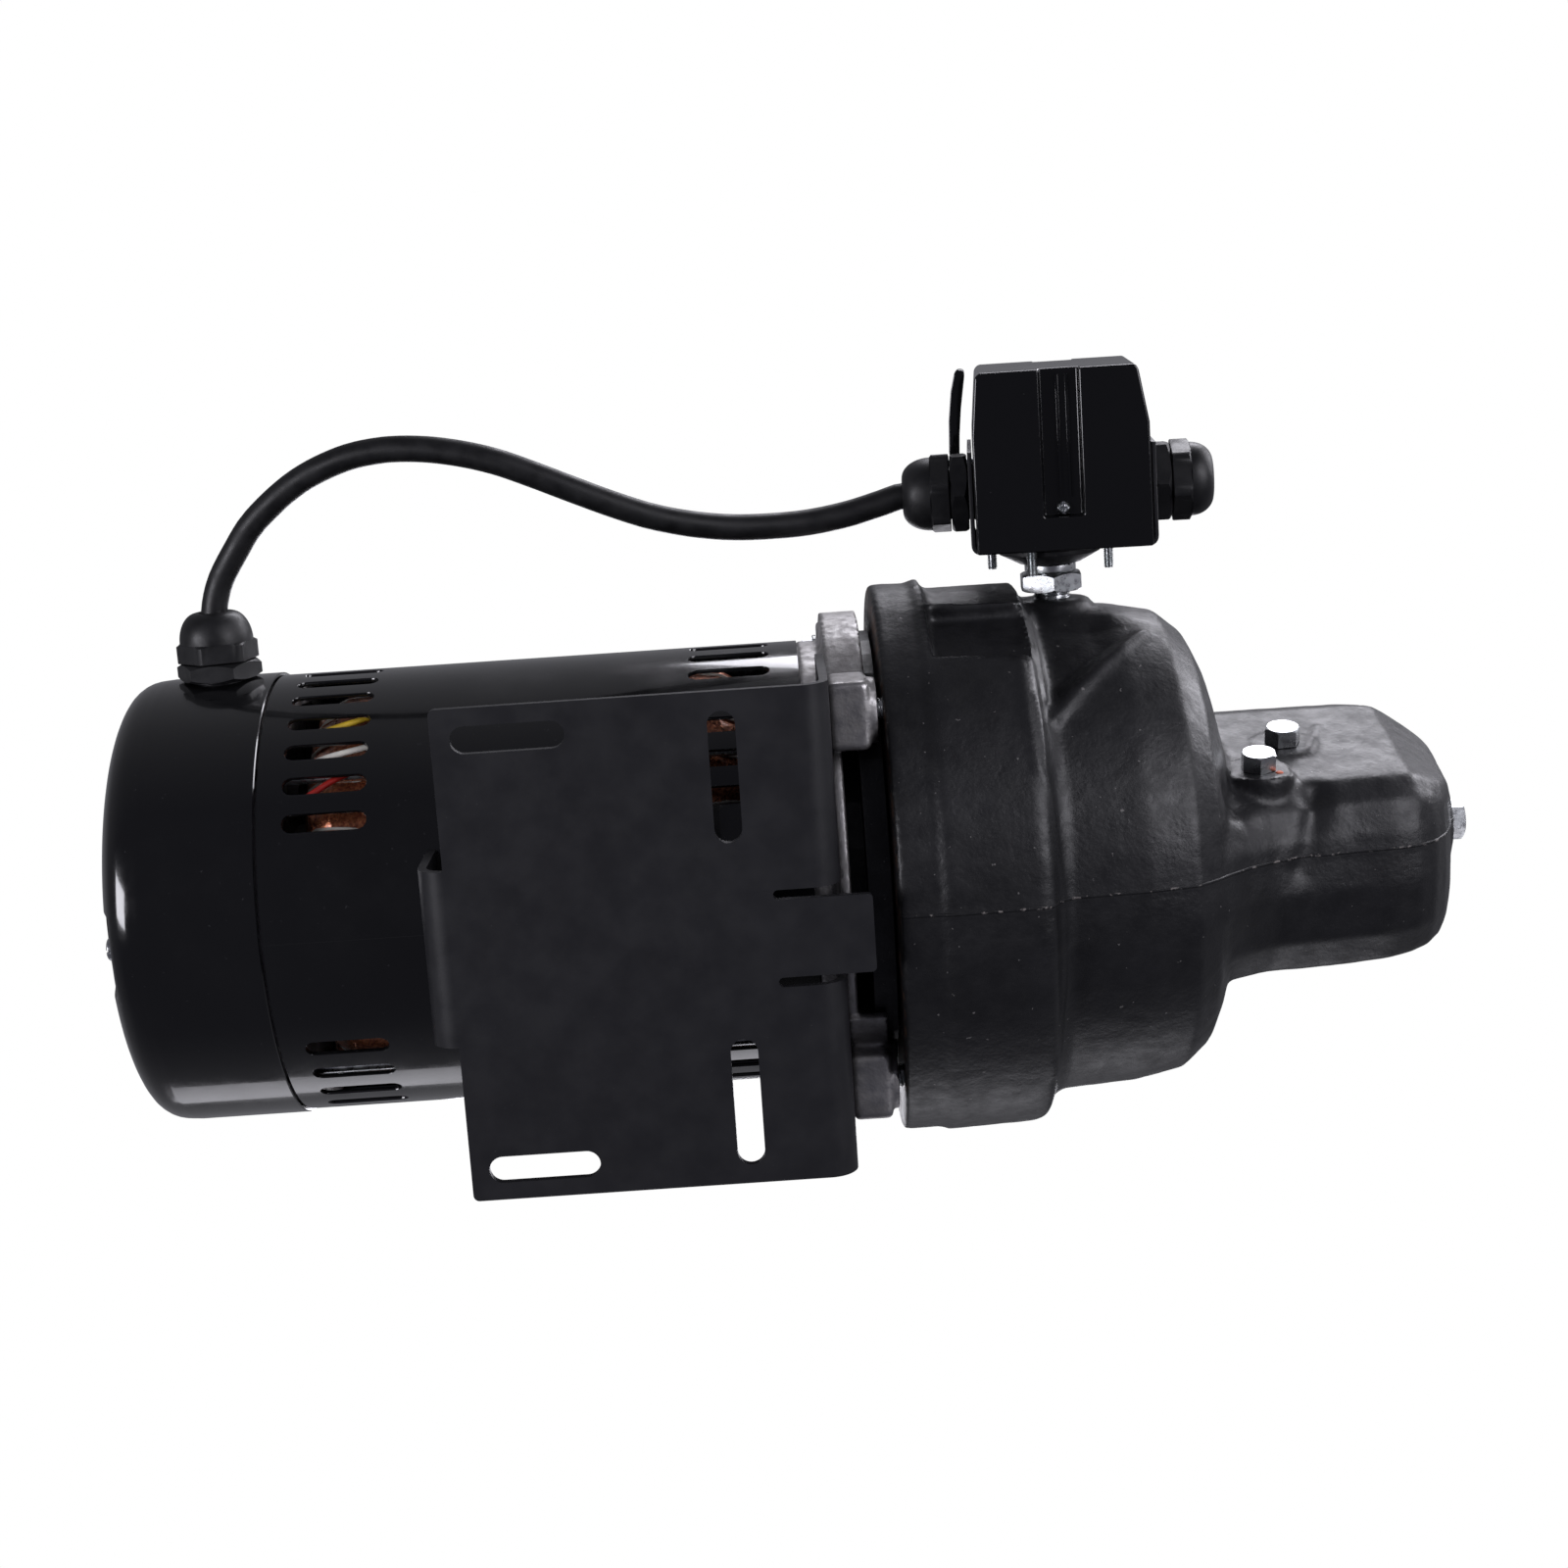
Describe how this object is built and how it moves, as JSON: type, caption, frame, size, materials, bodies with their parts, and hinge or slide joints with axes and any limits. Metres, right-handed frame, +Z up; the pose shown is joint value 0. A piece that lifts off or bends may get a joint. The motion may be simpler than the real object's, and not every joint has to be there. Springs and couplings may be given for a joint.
{
  "type": "shallow well jet pump",
  "caption": "Shallow well jet pump: a vented motor on a folded base, a cast jet casing with threaded ports, and a pressure switch with its cord.",
  "frame": {"origin": "underside of the base plate, below the shaft, at the middle of the four bolt slots", "axes": "+X along the shaft from the motor to the nose of the casing, +Z up, and the pressure switch points along -Y"},
  "size_m": [0.4811, 0.2699, 0.216],
  "materials": {
    "shell_enamel": "gloss black enamel",
    "base_coat": "satin black powder coat",
    "painted_iron": "black paint on rough cast iron",
    "bare_aluminium": "as-cast",
    "plain_steel": "bare and lightly oiled",
    "zinc_plate": "bright zinc plate",
    "copper": "red enamelled copper wire",
    "brass": "turned",
    "black_rubber": "moulded",
    "cord_rubber": "matt rubber sheath",
    "nylon": "moulded black nylon",
    "cover_plastic": "high gloss moulding",
    "dark_plastic": "filled moulding",
    "fan_plastic": "natural moulding",
    "ceramic": "lapped ceramic"
  },
  "bodies": {
    "pump": {"motor_shell": "shell_enamel", "rear_end_cap": "shell_enamel", "base_bracket": "base_coat", "switch_frame": "base_coat", "casing": "painted_iron", "seal_plate": "painted_iron", "diaphragm_flange": "painted_iron", "front_bracket": "bare_aluminium", "rear_end_bell": "bare_aluminium", "stator_core": "plain_steel", "rear_bearing": "plain_steel", "front_bearing": "plain_steel", "casing_bolt_1": "zinc_plate", "casing_bolt_2": "zinc_plate", "casing_bolt_3": "zinc_plate", "casing_bolt_4": "zinc_plate", "cap_screw": "zinc_plate", "clean_out_plug": "zinc_plate", "coupler_nut": "zinc_plate", "cover_screw": "zinc_plate", "gauge_port_plug": "zinc_plate", "lever_pin": "zinc_plate", "nipple_collar": "zinc_plate", "prime_port_plug": "zinc_plate", "priming_plug": "zinc_plate", "range_nut": "zinc_plate", "range_spring": "zinc_plate", "switch_nipple": "zinc_plate", "front_windings": "copper", "rear_windings": "copper", "jet_nozzle": "brass", "rear_cushion": "black_rubber", "casing_gasket": "black_rubber", "diaphragm": "black_rubber", "power_cord": "cord_rubber", "cord_gland_body": "nylon", "cord_gland_nut": "nylon", "motor_gland_body": "nylon", "motor_gland_nut": "nylon", "spare_gland_body": "nylon", "spare_gland_nut": "nylon", "switch_cover": "cover_plastic", "contact_block": "dark_plastic", "guide_vane_plate": "dark_plastic", "start_capacitor": "dark_plastic", "start_switch": "dark_plastic", "venturi_tube": "dark_plastic", "seal_seat": "ceramic"},
    "rotor": {"shaft": "plain_steel", "rotor_core": "bare_aluminium", "water_slinger": "black_rubber", "cooling_fan": "fan_plastic", "governor": "plain_steel", "seal_head": "black_rubber", "impeller": "dark_plastic"},
    "collar": {"governor_collar": "dark_plastic"},
    "plunger": {"plunger": "brass"},
    "contact_arm": {"contact_arm": "zinc_plate"},
    "lever": {"switch_lever": "cover_plastic"}
  },
  "joints": [
    {"name": "rotor_spin", "type": "hinge", "parent": "pump", "child": "rotor", "pos_m": [0, 0, 0.11], "axis": [1, 0, 0], "continuous": true},
    {"name": "collar_slide", "type": "slide", "parent": "rotor", "child": "collar", "axis": [1, 0, 0], "range_m": [0, 0.003], "stiffness_N_per_m": 200},
    {"name": "plunger_slide", "type": "slide", "parent": "pump", "child": "plunger", "axis": [0, -1, 0], "range_m": [0, 0.0012], "stiffness_N_per_m": 500},
    {"name": "contact_arm_hinge", "type": "hinge", "parent": "pump", "child": "contact_arm", "pos_m": [0.13307, -0.1135, 0.11155], "axis": [0.0872, 0, 0.9962], "range_deg": [-4, 0]},
    {"name": "lever_hinge", "type": "hinge", "parent": "pump", "child": "lever", "pos_m": [0.12099, -0.135, 0.13419], "axis": [0.9962, 0, -0.0872], "range_deg": [-45, 45]}
  ],
  "couplings": [
    {"joint": "contact_arm_hinge", "follows": "plunger_slide", "rad_per_m": -56.18}
  ]
}
